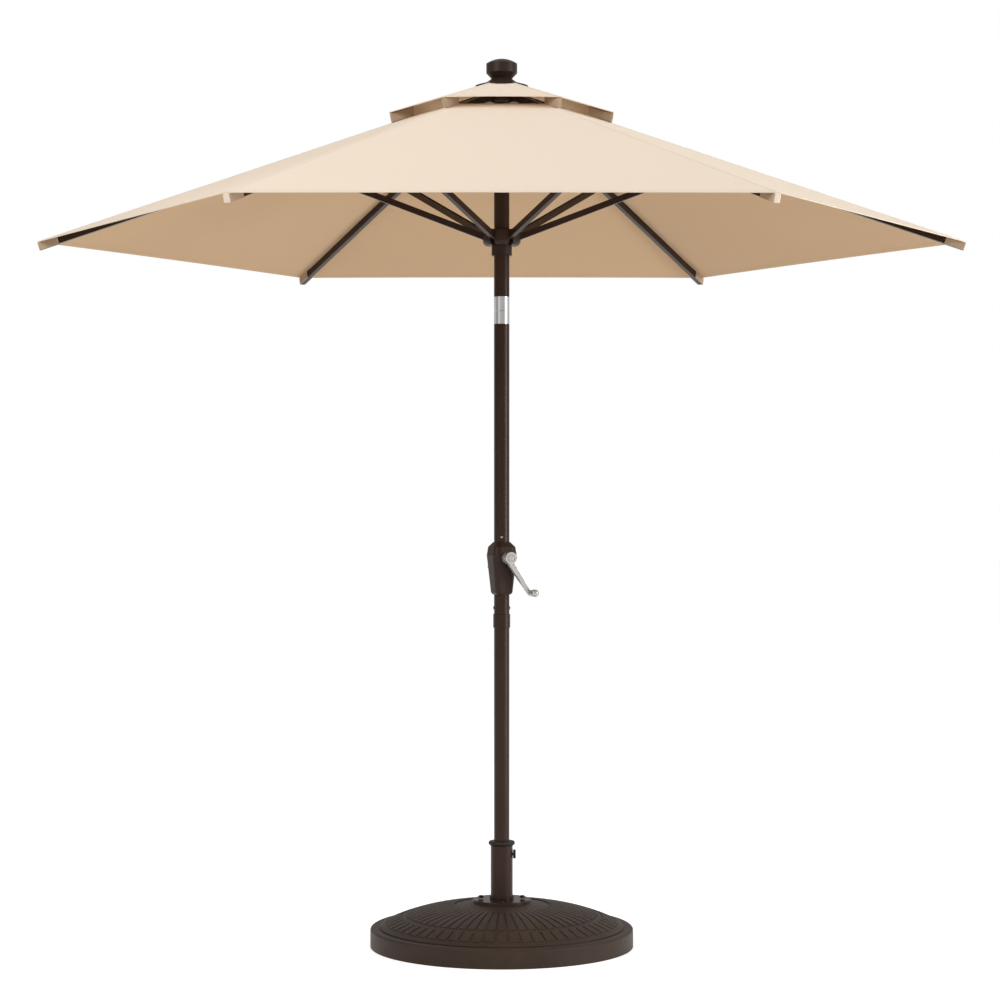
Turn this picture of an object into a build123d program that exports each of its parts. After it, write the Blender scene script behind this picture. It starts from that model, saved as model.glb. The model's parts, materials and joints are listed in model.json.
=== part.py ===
"""Patio umbrella with a weighted base.

A six-rib market umbrella, opened by a crank, tilted by a joint in its pole and standing in a round base.
Millimetres, +Z up, origin on the floor under the middle of the base. The crank side faces -Y and +X.
"""

import os
from math import asin, atan2, cos, degrees, hypot, radians, sin, sqrt, tan

from build123d import *

# Heights: the whole, and how far each part of the pole lies under the one above it
total_height = 2180.0
finial_rise = 50.0
vent_lift = 18.0
runner_fall = 347.0
tilt_fall = 180.0
crank_fall = 607.0
coupling_fall = 172.0

# Canopy: tip to tip, and slope along a rib
canopy_span = 2286.0
canopy_slope = 0.3344
canopy_opening_r = 216.0
cloth = 1.5
cloth_gap = 0.3
petal_gap = 0.15
pocket_length = 50.0

# Vent tier above the opening
vent_r = 278.0
vent_slope = 0.295
vent_hole_r = 14.0
vent_tab_width = 40.0
vent_tab_inset = 10.0

# Spokes
rib_count = 6
rib_width = 12.0
rib_height = 18.0
rib_wall = 1.0
rib_end_inset = 5.0
strut_width = 12.0
strut_height = 15.0
strut_wall = 1.2
strut_channel_inset = 16.0
pivot_circle_r = 38.0
pivot_pin_d = 5.0
pivot_pin_length = 24.0
bracket_web = 2.5
bracket_cheek = 3.0
bracket_length = 40.0
bracket_lap = 13.0

# Clearances
side_gap = 0.3
end_gap = 1.0
running_gap = 0.05
socket_gap = 0.1

# Pole
pole_d = 38.0
pole_wall = 1.7
pole_foot_gap = 0.3
coupling_height = 34.0
coupling_sleeve = 2.0
coupling_web = 2.0
spigot_wall = 3.0
spigot_reach = 42.0
push_button_d = 11.0
push_button_rise = 15.0
push_button_proud = 2.2
push_button_lip = 1.2
push_button_base = 3.0
rivet_d = 6.0
rivet_proud = 1.2
rivet_rise = 12.0

# Tilt joint
tilt_lower_height = 32.0
tilt_upper_height = 35.0
tilt_seam_gap = 0.8
tilt_drop = 8.0
tilt_angle = 30.0
tilt_tongue_r = 13.0
tilt_tongue_width = 14.0
tilt_pin_d = 8.0
tilt_pin_inset = 1.5
tilt_spigot = 26.0
tilt_button_d = 10.0
tilt_button_proud = 0.4
tilt_button_length = 9.0
tilt_button_travel = 3.0

# Crank
crank_turn = 25.0
crank_shaft_d = 10.0
crank_arm_angle = -57.0
crank_arm_length = 102.0
crank_barrel_d = 30.0
crank_barrel_length = 24.0
crank_cap_d = 21.0
crank_cap_height = 2.0
crank_cap_groove = 1.5
crank_arm_thick = 10.0
crank_arm_ridge = 3.0
crank_arm_root = 28.0
crank_arm_tip = 15.0
crank_knob_d = 18.0
crank_knob_length = 25.0
crank_pin_d = 6.0
spool_drum_r = 10.0
spool_flange_r = 13.0
spool_length = 20.0
spool_flange = 2.0
housing_below = 90.0
housing_above = 39.0
housing_width = 64.0
housing_bottom_width = 46.0
housing_corner = 17.0
housing_split = 0.2
housing_screw_d = 4.0
housing_screw_inset = 6.5
housing_screw_rises = (-23.0, 21.0)

# Top
hub_rim = 9.0
hub_height = 34.0
hub_slot_r = 28.0
hub_boss_r = 24.0
hub_bore_depth = 9.0
finial_r = 38.0
finial_neck_r = 25.0
finial_flare = 14.0
finial_crown = 12.0
finial_stud_d = 12.0
finial_stud_length = 36.0
skirt_r = 65.0
skirt_edge = 2.0
skirt_waist_r = 39.0
skirt_waist_fall = 10.0
skirt_neck = 1.0
pulley_fall = 47.0
pulley_r = 12.0
pulley_width = 8.0
pulley_groove = 3.0

# Runner
runner_flange_height = 40.0
runner_round = 13.0
runner_collar_height = 24.0
runner_collar_wall = 4.8
runner_bore_gap = 1.2

# Base
base_r = 323.0
base_wall = 46.0
base_round = 6.0
base_rise = 60.0
dome_rim = 23.0
dome_lip = 3.0
dome_bulge = 10.0
dome_shoulder_width = 41.0
dome_shoulder_fall = 7.5
ray_count = 60
ray_height = 1.8
ray_share = 0.76
ray_inset = 6.0
ray_length = 112.0
ray_break = 12.0
ray_rim = 14.0
flange_r = 71.0
flange_thick = 8.0
flange_collar = 2.2
flange_collar_height = 8.0
flange_spigot_height = 14.0
bolt_d = 6.0
bolt_edge = 12.0
bolt_head = 10.0
bolt_head_height = 2.6
bolt_washer_d = 14.0
bolt_washer = 1.2
bolt_depth = 30.0
stem_d = 54.5
stem_wall = 2.5
stem_length = 132.0
bush_overhang = 5.25
bush_lip_height = 11.0
bush_reach = 34.0
screw_d = 8.0
screw_fall = 22.0
screw_tip_gap = 0.3
stem_knob_d = 22.0
stem_knob_thick = 6.5
stem_knob_gap = 0.8
stem_knob_flutes = 12

# Derived sizes
pole_r = pole_d / 2
pole_bore_r = pole_r - pole_wall
spigot_r = pole_bore_r - socket_gap
rib_pitch = degrees(atan2(canopy_slope, 1))
rib_cos = cos(radians(rib_pitch))
rib_sin = sin(radians(rib_pitch))
panel_fall = canopy_slope * tan(radians(30))
vent_fall = vent_slope * tan(radians(30))
rib_drop = (cloth + cloth_gap + rib_height / 2) / rib_cos + panel_fall * rib_width / 2
vent_apex_z = total_height - finial_rise
canopy_apex_z = vent_apex_z - vent_lift
hub_pivot_z = canopy_apex_z - canopy_slope * pivot_circle_r - rib_drop
runner_pivot_z = hub_pivot_z - runner_fall
tilt_seam_z = runner_pivot_z - tilt_fall
tilt_bottom_z = tilt_seam_z - tilt_lower_height
tilt_top_z = tilt_seam_z + tilt_upper_height
tilt_pin_z = tilt_seam_z + tilt_drop
tilt_pin_length = pole_d - 2 * tilt_pin_inset
tilt_button_z = (tilt_bottom_z + tilt_pin_z - tilt_tongue_r) / 2
crank_z = tilt_seam_z - crank_fall
housing_bottom_z = crank_z - housing_below
housing_top_z = crank_z + housing_above
rivet_z = housing_top_z + rivet_rise
coupling_z = crank_z - coupling_fall
coupling_mid_z = coupling_z + coupling_height / 2
coupling_d = pole_d + 2 * coupling_sleeve
push_button_z = coupling_z + coupling_height + push_button_rise
canopy_r = canopy_span / 2
rib_length = (canopy_r - rib_end_inset - pivot_circle_r) / rib_cos
slot_width = rib_width + 2 * side_gap
bracket_offset = rib_height / 2 + bracket_web + end_gap + strut_height / 2
hub_r = pivot_circle_r + hub_rim
hub_top_z = hub_pivot_z + hub_height / 2
upper_pole_top_z = hub_pivot_z - hub_height / 2 + hub_bore_depth
pulley_z = hub_pivot_z - pulley_fall
finial_neck_z = vent_apex_z + skirt_neck
base_top_z = base_wall + base_rise
dome_foot = (base_r - dome_rim, base_wall + dome_lip)
dome_shoulder = (flange_r + dome_shoulder_width, base_top_z - dome_shoulder_fall)
dome_middle = (
    (dome_foot[0] + dome_shoulder[0]) / 2,
    (dome_foot[1] + dome_shoulder[1]) / 2 + dome_bulge,
)
ray_start = dome_shoulder[0] + ray_inset
ray_end = ray_start + (dome_foot[0] - ray_rim - ray_start) * ray_length / (ray_length + 4 * ray_break)
ray_tiers = ((ray_start, ray_end), (ray_end + ray_break, dome_foot[0] - ray_rim))
flange_top_z = base_top_z + flange_thick
bolt_circle_r = flange_r - bolt_edge
pole_foot_z = flange_top_z + pole_foot_gap
stem_r = stem_d / 2
stem_bore_r = stem_r - stem_wall
stem_top_z = flange_top_z + stem_length
screw_z = stem_top_z - screw_fall
bush_lip_r = stem_r + bush_overhang
runner_bore_r = pole_r + runner_bore_gap
runner_collar_r = runner_bore_r + runner_collar_wall
housing_face = housing_width / 2
housing_screw_x = housing_face - housing_screw_inset
barrel_back = housing_face + end_gap
barrel_front = barrel_back + crank_barrel_length
arm_x = crank_arm_length * cos(radians(crank_arm_angle))
arm_z = crank_z + crank_arm_length * sin(radians(crank_arm_angle))


def strut_reach():
    """Distance along the rib to the bracket, for a strut as long as the arm from hub to bracket."""
    return (runner_fall / 2 - bracket_offset * rib_cos) / rib_sin


bracket_s = strut_reach()
strut_length = hypot(bracket_s, bracket_offset)
strut_pitch = rib_pitch + degrees(atan2(bracket_offset, bracket_s))

rib_side = Plane((pivot_circle_r, 0, hub_pivot_z), x_dir=(rib_cos, 0, -rib_sin), z_dir=(0, -1, 0))
strut_side = Plane(
    (pivot_circle_r, 0, runner_pivot_z),
    x_dir=(cos(radians(strut_pitch)), 0, sin(radians(strut_pitch))),
    z_dir=(0, -1, 0),
)
crank_side = Plane((0, 0, crank_z), x_dir=(1, 0, 0), z_dir=(0, -1, 0))


def ring(outer_r, inner_r, bottom, top):
    """Plain round tube standing on the axis."""
    with BuildPart() as piece:
        with BuildSketch(Plane.XY.offset(bottom)):
            Circle(outer_r)
            Circle(inner_r, mode=Mode.SUBTRACT)
        extrude(amount=top - bottom)
    return piece.part


def turned(*points):
    """Solid of revolution about the axis through the given radius and height pairs."""
    with BuildPart() as piece:
        with BuildSketch(Plane.XZ):
            with BuildLine():
                Polyline(*points, close=True)
            make_face()
        revolve(axis=Axis.Z)
    return piece.part


def cap_middle(radius, rise):
    """Radius, and drop below the crown, of the point halfway up the arc of a spherical cap."""
    ball = (radius**2 + rise**2) / (2 * rise)
    half = asin(radius / ball) / 2
    return ball * sin(half), ball * (1 - cos(half))


def dome(lift):
    """Top of the base, raised by a given height, as a solid down to the floor."""
    shoulder, middle, foot = dome_shoulder, dome_middle, dome_foot
    with BuildPart() as piece:
        with BuildSketch(Plane.XZ):
            with BuildLine():
                Polyline((foot[0], foot[1] + lift), (foot[0], 0), (0, 0), (0, base_top_z + lift))
                Line((0, base_top_z + lift), (flange_r, base_top_z + lift))
                Line((flange_r, base_top_z + lift), (shoulder[0], shoulder[1] + lift))
                ThreePointArc(
                    (shoulder[0], shoulder[1] + lift),
                    (middle[0], middle[1] + lift),
                    (foot[0], foot[1] + lift),
                )
            make_face()
        revolve(axis=Axis.Z)
    return piece.part


def base_rays(inner, outer):
    """Ring of raised wedges that fan out over the dome."""
    half = radians(180 / ray_count * ray_share)
    with BuildPart() as piece:
        with BuildSketch(Plane.XY.offset(base_wall / 2)):
            with PolarLocations(0, ray_count):
                Polygon(
                    (inner * cos(half), -inner * sin(half)),
                    (outer * cos(half), -outer * sin(half)),
                    (outer * cos(half), outer * sin(half)),
                    (inner * cos(half), inner * sin(half)),
                    align=None,
                )
        extrude(amount=base_top_z)
        add(dome(ray_height), mode=Mode.INTERSECT)
    return piece.part


def base_plate():
    """Heavy round plate with a flat rim and a domed top with two rings of rays."""
    with BuildPart() as piece:
        with BuildSketch(Plane.XZ):
            with BuildLine():
                Polyline((0, base_wall), (0, 0), (base_r, 0), (base_r, base_wall - base_round))
                RadiusArc(
                    (base_r, base_wall - base_round), (base_r - base_round, base_wall), -base_round
                )
                Line((base_r - base_round, base_wall), (0, base_wall))
            make_face()
        revolve(axis=Axis.Z)
        add(dome(0))
        for tier in ray_tiers:
            add(base_rays(*tier))
        with Locations((0, 0, base_top_z)):
            with PolarLocations(bolt_circle_r, rib_count, start_angle=30):
                Hole(bolt_d / 2 + side_gap, depth=bolt_depth)
    return piece.part


def stem_flange():
    """Round foot of the stem: a bolted plate with a collar outside the tube and a spigot inside it."""
    with BuildPart() as piece:
        with BuildSketch(Plane.XY.offset(base_top_z)):
            Circle(flange_r)
        extrude(amount=flange_thick)
        fillet(piece.edges().group_by(Axis.Z)[-1], 2)
        add(ring(stem_r + flange_collar, stem_r, flange_top_z, flange_top_z + flange_collar_height))
        add(ring(stem_bore_r, pole_r + side_gap, flange_top_z, flange_top_z + flange_spigot_height))
        with Locations((0, 0, flange_top_z)):
            with PolarLocations(bolt_circle_r, rib_count, start_angle=30):
                Hole(bolt_d / 2 + side_gap, depth=flange_thick)
    return piece.part


def flange_bolts():
    """Six hexagon bolts with washers that hold the stem to the base."""
    with BuildPart() as piece:
        with PolarLocations(bolt_circle_r, rib_count, start_angle=30):
            with Locations((0, 0, flange_top_z - flange_thick - bolt_depth + 1)):
                Cylinder(
                    bolt_d / 2,
                    flange_thick + bolt_depth - 1,
                    align=(Align.CENTER, Align.CENTER, Align.MIN),
                )
        with BuildSketch(Plane.XY.offset(flange_top_z)):
            with PolarLocations(bolt_circle_r, rib_count, start_angle=30):
                Circle(bolt_washer_d / 2)
        extrude(amount=bolt_washer)
        with BuildSketch(Plane.XY.offset(flange_top_z + bolt_washer)):
            with PolarLocations(bolt_circle_r, rib_count, start_angle=30):
                RegularPolygon(bolt_head / 2, 6, major_radius=False)
        extrude(amount=bolt_head_height)
    return piece.part


def stem_tube():
    """Upright tube of the base, bored for the clamp screw."""
    with BuildPart() as piece:
        add(ring(stem_r, stem_bore_r, flange_top_z, stem_top_z))
        with Locations((stem_r, 0, screw_z)):
            Cylinder(screw_d / 2 + side_gap, 2 * stem_wall + 6, rotation=(0, 90, 0), mode=Mode.SUBTRACT)
    return piece.part


def stem_bush():
    """Rounded lip and sleeve that centre the pole in the stem."""
    with BuildPart() as piece:
        add(ring(bush_lip_r, pole_r + side_gap, stem_top_z, stem_top_z + bush_lip_height))
        rim = piece.edges().filter_by(GeomType.CIRCLE).group_by(SortBy.RADIUS)[-1]
        fillet(rim, bush_lip_height / 2 - 0.5)
        add(ring(stem_bore_r, pole_r + side_gap, stem_top_z - bush_reach, stem_top_z))
        with Locations((stem_r, 0, screw_z)):
            Cylinder(screw_d / 2 + side_gap, stem_d - pole_d, rotation=(0, 90, 0), mode=Mode.SUBTRACT)
    return piece.part


def stem_screw():
    """Clamp screw whose tip bears on the pole."""
    with BuildPart() as piece:
        with BuildSketch(Plane.YZ.offset(pole_r + screw_tip_gap)):
            with Locations((0, screw_z)):
                Circle(screw_d / 2)
        extrude(amount=stem_r + stem_knob_gap + stem_knob_thick / 2 - pole_r - screw_tip_gap)
        chamfer(piece.edges().group_by(Axis.X)[0], 1)
    return piece.part


def stem_knob():
    """Fluted hand knob of the clamp screw."""
    with BuildPart() as piece:
        with BuildSketch(Plane.YZ.offset(stem_r + stem_knob_gap)):
            with Locations((0, screw_z)):
                Circle(stem_knob_d / 2)
                with PolarLocations(stem_knob_d / 2 + 1, stem_knob_flutes):
                    Circle(2, mode=Mode.SUBTRACT)
        extrude(amount=stem_knob_thick)
        fillet(piece.edges().group_by(Axis.X)[-1], 1)
        with BuildSketch(Plane.YZ.offset(stem_r + stem_knob_gap)):
            with Locations((0, screw_z)):
                Circle(screw_d / 2 + running_gap)
        extrude(amount=stem_knob_thick / 2 + running_gap, mode=Mode.SUBTRACT)
    return piece.part


def lower_pole():
    """Lower pole tube, from the stem to the coupling."""
    return ring(pole_r, pole_bore_r, pole_foot_z, coupling_mid_z - coupling_web / 2)


def pole_coupling():
    """Sleeve and spigot that join the lower and middle tubes, bored for the two snap buttons."""
    middle, web = coupling_mid_z, coupling_web / 2
    bottom, top = coupling_z, coupling_z + coupling_height
    with BuildPart() as piece:
        add(ring(spigot_r, spigot_r - spigot_wall, bottom - spigot_reach, top + spigot_reach))
        add(ring(coupling_d / 2, pole_r, bottom, top))
        chamfer(piece.edges().filter_by(GeomType.CIRCLE).group_by(SortBy.RADIUS)[-1], 0.8)
        add(ring(pole_r, spigot_r - spigot_wall, middle - web, middle + web))
        with Locations((0, 0, push_button_z)):
            Cylinder(
                push_button_d / 2 + side_gap,
                2 * coupling_d,
                rotation=(0, 90, 0),
                mode=Mode.SUBTRACT,
            )
    return piece.part


def push_button():
    """Domed snap button on the +X side of the coupling, with a retaining foot inside the spigot."""
    inner = spigot_r - spigot_wall
    foot_r = push_button_d / 2 + push_button_lip
    seat = sqrt(inner**2 - foot_r**2) - side_gap
    crown = pole_r + push_button_proud
    middle_r, middle_drop = cap_middle(push_button_d / 2, push_button_proud + 1)
    with BuildPart() as piece:
        with BuildSketch(Plane((0, 0, push_button_z), x_dir=(1, 0, 0), z_dir=(0, -1, 0))):
            with BuildLine():
                Polyline(
                    (pole_r, 0),
                    (seat - push_button_base, 0),
                    (seat - push_button_base, foot_r),
                    (seat, foot_r),
                    (seat, push_button_d / 2),
                    (pole_r - 1, push_button_d / 2),
                )
                ThreePointArc(
                    (pole_r - 1, push_button_d / 2),
                    (crown - middle_drop, middle_r),
                    (crown, 0),
                )
                Line((crown, 0), (pole_r, 0))
            make_face()
        revolve(axis=Axis((0, 0, push_button_z), (1, 0, 0)))
    return piece.part


def mid_pole():
    """Middle pole tube, bored for the snap buttons, the crank shaft and the rivet."""
    with BuildPart() as piece:
        add(ring(pole_r, pole_bore_r, coupling_mid_z + coupling_web / 2, tilt_bottom_z))
        with Locations((0, 0, push_button_z)):
            Cylinder(push_button_d / 2 + side_gap, 2 * pole_d, rotation=(0, 90, 0), mode=Mode.SUBTRACT)
        with Locations(Location((0, 0, crank_z), (0, 0, crank_turn))):
            Cylinder(crank_shaft_d / 2 + side_gap, 2 * pole_d, rotation=(90, 0, 0), mode=Mode.SUBTRACT)
        with Locations((0, -pole_r, rivet_z)):
            Cylinder(rivet_d / 4, pole_r, rotation=(90, 0, 0), mode=Mode.SUBTRACT)
    return piece.part


def pole_rivet():
    """Small domed rivet above the crank housing."""
    head = Plane((0, -pole_r + 0.4, rivet_z), x_dir=(1, 0, 0), z_dir=(0, -1, 0))
    with BuildPart() as piece:
        with BuildSketch(head):
            Circle(rivet_d / 2)
        extrude(amount=rivet_proud + 0.4)
        fillet(piece.edges().group_by(Axis.Y)[0], 0.8)
        add(ring(pole_r, pole_r - pole_wall, rivet_z - rivet_d, rivet_z + rivet_d), mode=Mode.SUBTRACT)
        with BuildSketch(head.offset(-pole_wall - 1)):
            Circle(rivet_d / 4)
        extrude(amount=pole_wall + 1.4)
    return piece.part


def tilt_lower():
    """Lower half of the tilt joint: a block with a tongue for the pin and a pocket for the button."""
    face = tilt_seam_z - tilt_seam_gap
    with BuildPart() as piece:
        with BuildSketch(Plane.XY.offset(tilt_bottom_z)):
            Circle(pole_r)
        extrude(amount=face - tilt_bottom_z)
        with BuildSketch(Plane.XY.offset(tilt_bottom_z)):
            Circle(spigot_r)
        extrude(amount=-tilt_spigot)
        with Locations((0, 0, tilt_pin_z)):
            Cylinder(tilt_tongue_r, tilt_tongue_width, rotation=(0, 90, 0))
            Cylinder(tilt_pin_d / 2, tilt_tongue_width, rotation=(0, 90, 0), mode=Mode.SUBTRACT)
        with BuildSketch(Plane((0, pole_r + 1, tilt_button_z), x_dir=(1, 0, 0), z_dir=(0, -1, 0))):
            Circle(tilt_button_d / 2 + side_gap)
        extrude(
            amount=1 + tilt_button_length - tilt_button_proud + tilt_button_travel + side_gap,
            mode=Mode.SUBTRACT,
        )
    return piece.part


def tilt_upper():
    """Upper half of the tilt joint: a slotted block, cut back behind the pin for the tilt."""
    far = 2 * pole_r
    turn = radians(tilt_angle)
    heel = (tilt_drop * sin(turn), -tilt_drop * cos(turn))
    with BuildPart() as piece:
        with BuildSketch(Plane((0, 0, tilt_pin_z), x_dir=(0, 1, 0), z_dir=(1, 0, 0))):
            with BuildLine():
                Polyline(heel, (heel[0] + far * cos(turn), heel[1] + far * sin(turn)), (far, far))
                Polyline((far, far), (-far, far), (-far, -tilt_drop), (0, -tilt_drop))
                RadiusArc((0, -tilt_drop), heel, -tilt_drop)
            make_face()
        extrude(amount=pole_r, both=True)
        with BuildSketch(Plane.XY.offset(tilt_bottom_z)):
            Circle(pole_r)
        extrude(amount=tilt_top_z - tilt_bottom_z, mode=Mode.INTERSECT)
        with BuildSketch(Plane.XY.offset(tilt_top_z)):
            Circle(spigot_r)
        extrude(amount=tilt_spigot)
        with Locations((0, 0, tilt_pin_z)):
            Cylinder(
                tilt_tongue_r + side_gap,
                tilt_tongue_width + 2 * side_gap,
                rotation=(0, 90, 0),
                mode=Mode.SUBTRACT,
            )
            Cylinder(tilt_pin_d / 2 + running_gap, pole_d, rotation=(0, 90, 0), mode=Mode.SUBTRACT)
    return piece.part


def tilt_pin():
    """Cross pin of the tilt joint."""
    with BuildPart() as piece:
        with Locations((0, 0, tilt_pin_z)):
            Cylinder(tilt_pin_d / 2, tilt_pin_length, rotation=(0, 90, 0))
        chamfer(piece.edges(), 0.5)
    return piece.part


def tilt_button():
    """Release button in the back of the tilt joint."""
    tip = pole_r + tilt_button_proud
    with BuildPart() as piece:
        with BuildSketch(Plane((0, tip, tilt_button_z), x_dir=(1, 0, 0), z_dir=(0, -1, 0))):
            Circle(tilt_button_d / 2)
        extrude(amount=tilt_button_length)
        fillet(piece.edges().group_by(Axis.Y)[-1], 0.6)
    return piece.part


def upper_pole():
    """Upper pole tube, from the tilt joint into the top hub, bored for the pulley pin."""
    with BuildPart() as piece:
        add(ring(pole_r, pole_bore_r, tilt_top_z, upper_pole_top_z))
        with Locations((0, 0, pulley_z)):
            Cylinder(pivot_pin_d / 2 + running_gap, 2 * pole_d, rotation=(0, 90, 0), mode=Mode.SUBTRACT)
    return piece.part


def crank_housing():
    """Whole crank housing before it is split: square with round corners, shouldered and tapered."""
    corner = housing_corner / housing_width
    sections = (
        (housing_bottom_z, housing_bottom_width - 7, corner),
        (housing_bottom_z + 5, housing_bottom_width, corner),
        (crank_z + 6, housing_width, corner),
        (housing_top_z - 12, housing_width - 6, corner),
        (housing_top_z, pole_d + 3, 0.48),
    )
    with BuildPart() as piece:
        for height, width, share in sections:
            with BuildSketch(Plane.XY.offset(height)):
                RectangleRounded(width, width, share * width)
        loft(ruled=True)
        with Locations((0, 0, (housing_bottom_z + housing_top_z) / 2)):
            Cylinder(pole_r + socket_gap, 2 * housing_top_z - 2 * housing_bottom_z, mode=Mode.SUBTRACT)
        with Locations((0, 0, crank_z)):
            Cylinder(
                crank_shaft_d / 2 + running_gap,
                2 * housing_width,
                rotation=(90, 0, 0),
                mode=Mode.SUBTRACT,
            )
        for height in (crank_z + rise for rise in housing_screw_rises):
            with Locations((-housing_screw_x, 0, height), (housing_screw_x, 0, height)):
                Cylinder(
                    housing_screw_d / 2 + socket_gap,
                    housing_face,
                    rotation=(90, 0, 0),
                    mode=Mode.SUBTRACT,
                )
            with Locations(
                (-housing_screw_x, housing_face, height),
                (housing_screw_x, housing_face, height),
            ):
                Cylinder(
                    housing_screw_d + socket_gap,
                    housing_face,
                    rotation=(90, 0, 0),
                    mode=Mode.SUBTRACT,
                )
    return piece.part


def housing_half(front):
    """Half of the crank housing on the crank side or on the far side."""
    start = -housing_split / 2 if front else housing_split / 2
    with BuildPart() as piece:
        add(crank_housing())
        with BuildSketch(Plane((0, start, housing_bottom_z - 1), x_dir=(1, 0, 0), z_dir=(0, 0, 1))):
            Rectangle(
                2 * housing_width,
                housing_width,
                align=(Align.CENTER, Align.MAX if front else Align.MIN),
            )
        extrude(amount=housing_top_z - housing_bottom_z + 2, mode=Mode.INTERSECT)
    return Rot(0, 0, crank_turn) * piece.part


def housing_screws():
    """Four screws that draw the housing halves together from the back."""
    seat = housing_face / 2
    with BuildPart() as piece:
        for height in (crank_z + rise for rise in housing_screw_rises):
            for side in (-housing_screw_x, housing_screw_x):
                with BuildSketch(Plane((side, seat, height), x_dir=(1, 0, 0), z_dir=(0, 1, 0))):
                    Circle(housing_screw_d)
                extrude(amount=3)
                with BuildSketch(Plane((side, seat, height), x_dir=(1, 0, 0), z_dir=(0, 1, 0))):
                    Circle(housing_screw_d / 2)
                extrude(amount=-seat * 1.9)
    return Rot(0, 0, crank_turn) * piece.part


def crank_shaft():
    """Shaft through the housing and pole that carries spool and crank."""
    with BuildPart() as piece:
        with BuildSketch(crank_side.offset(4 - housing_face)):
            Circle(crank_shaft_d / 2)
        extrude(amount=barrel_front - crank_cap_height + housing_face - 4)
    return Rot(0, 0, crank_turn) * piece.part


def cord_spool():
    """Flanged drum inside the pole on which the lift cord winds."""
    half = spool_length / 2
    with BuildPart() as piece:
        with BuildSketch(crank_side.offset(-half)):
            Circle(spool_flange_r)
        extrude(amount=spool_length)
        with BuildSketch(crank_side.offset(-half + spool_flange)):
            Circle(spool_flange_r + 1)
            Circle(spool_drum_r, mode=Mode.SUBTRACT)
        extrude(amount=spool_length - 2 * spool_flange, mode=Mode.SUBTRACT)
        with BuildSketch(crank_side.offset(-half)):
            Circle(crank_shaft_d / 2)
        extrude(amount=spool_length, mode=Mode.SUBTRACT)
    return Rot(0, 0, crank_turn) * piece.part


def arm_section(along, width):
    """Plane and half width of the ridged arm at a distance from the shaft."""
    turn = radians(crank_arm_angle)
    origin = (along * cos(turn), -barrel_front + crank_arm_ridge, crank_z + along * sin(turn))
    return Plane(origin, x_dir=(sin(turn), 0, -cos(turn)), z_dir=(cos(turn), 0, sin(turn))), width / 2


def crank_arm():
    """Crank: a barrel on the shaft, a tapering ridged arm, and a boss with a pin for the knob."""
    with BuildPart() as piece:
        for along, width in ((0, crank_arm_root), (crank_arm_length, crank_arm_tip)):
            plane, half = arm_section(along, width)
            with BuildSketch(plane):
                Polygon(
                    (-half, crank_arm_thick),
                    (-half, 0),
                    (0, -crank_arm_ridge * half * 2 / crank_arm_root),
                    (half, 0),
                    (half, crank_arm_thick),
                    align=None,
                )
        loft(ruled=True)
        with BuildSketch(crank_side.offset(barrel_back)):
            Circle(crank_barrel_d / 2)
        extrude(amount=crank_barrel_length)
        with BuildSketch(crank_side.offset(barrel_front - crank_arm_ridge - crank_arm_thick)):
            with Locations((arm_x, arm_z - crank_z)):
                Circle(crank_arm_tip / 2)
        extrude(amount=crank_arm_ridge + crank_arm_thick)
        with BuildSketch(crank_side.offset(barrel_front)):
            with Locations((arm_x, arm_z - crank_z)):
                Circle(crank_pin_d / 2)
        extrude(amount=crank_knob_length - 5)
        with BuildSketch(crank_side.offset(barrel_front - crank_cap_height)):
            Circle(crank_cap_d / 2 + socket_gap)
        extrude(amount=crank_cap_height + 1, mode=Mode.SUBTRACT)
        with BuildSketch(crank_side.offset(barrel_back - 1)):
            Circle(crank_shaft_d / 2)
        extrude(amount=crank_barrel_length + 2, mode=Mode.SUBTRACT)
    return Rot(0, 0, crank_turn) * piece.part


def crank_cap():
    """Screwed cap in the end of the barrel, with a ring groove and two holes for its key."""
    with BuildPart() as piece:
        with BuildSketch(crank_side.offset(barrel_front - crank_cap_height)):
            Circle(crank_cap_d / 2)
        extrude(amount=crank_cap_height + 0.6)
        with BuildSketch(crank_side.offset(barrel_front - 0.6)):
            Circle(crank_cap_d / 2 - crank_cap_groove)
            Circle(crank_cap_d / 2 - 2 * crank_cap_groove, mode=Mode.SUBTRACT)
            with Locations((0, crank_cap_d / 5), (0, -crank_cap_d / 5)):
                Circle(1.8)
        extrude(amount=3, mode=Mode.SUBTRACT)
    return Rot(0, 0, crank_turn) * piece.part


def crank_knob():
    """Small turning grip on the end of the crank."""
    with BuildPart() as piece:
        with BuildSketch(crank_side.offset(barrel_front + side_gap)):
            with Locations((arm_x, arm_z - crank_z)):
                Circle(crank_knob_d / 2)
        extrude(amount=crank_knob_length)
        fillet(piece.edges().group_by(Axis.Y)[0], 7)
        fillet(piece.edges().group_by(Axis.Y)[-1], 2)
        with BuildSketch(crank_side.offset(barrel_front)):
            with Locations((arm_x, arm_z - crank_z)):
                Circle(crank_pin_d / 2 + running_gap)
        extrude(amount=crank_knob_length - 4, mode=Mode.SUBTRACT)
    return Rot(0, 0, crank_turn) * piece.part


def spoke_slots(height):
    """Six radial cutters for the spoke ends in the hub or the runner."""
    with BuildPart() as piece:
        with BuildSketch(Plane.XY.offset(height - hub_r)):
            with PolarLocations(hub_slot_r, rib_count):
                Rectangle(hub_r, slot_width, align=(Align.MIN, Align.CENTER))
        extrude(amount=2 * hub_r)
    return piece.part


def pivot_pins(height):
    """Six tangential pins on the pivot circle."""
    with BuildPart() as piece:
        with Locations((0, 0, height)):
            with PolarLocations(pivot_circle_r, rib_count):
                Cylinder(pivot_pin_d / 2, pivot_pin_length, rotation=(90, 0, 0))
    return piece.part


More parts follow.
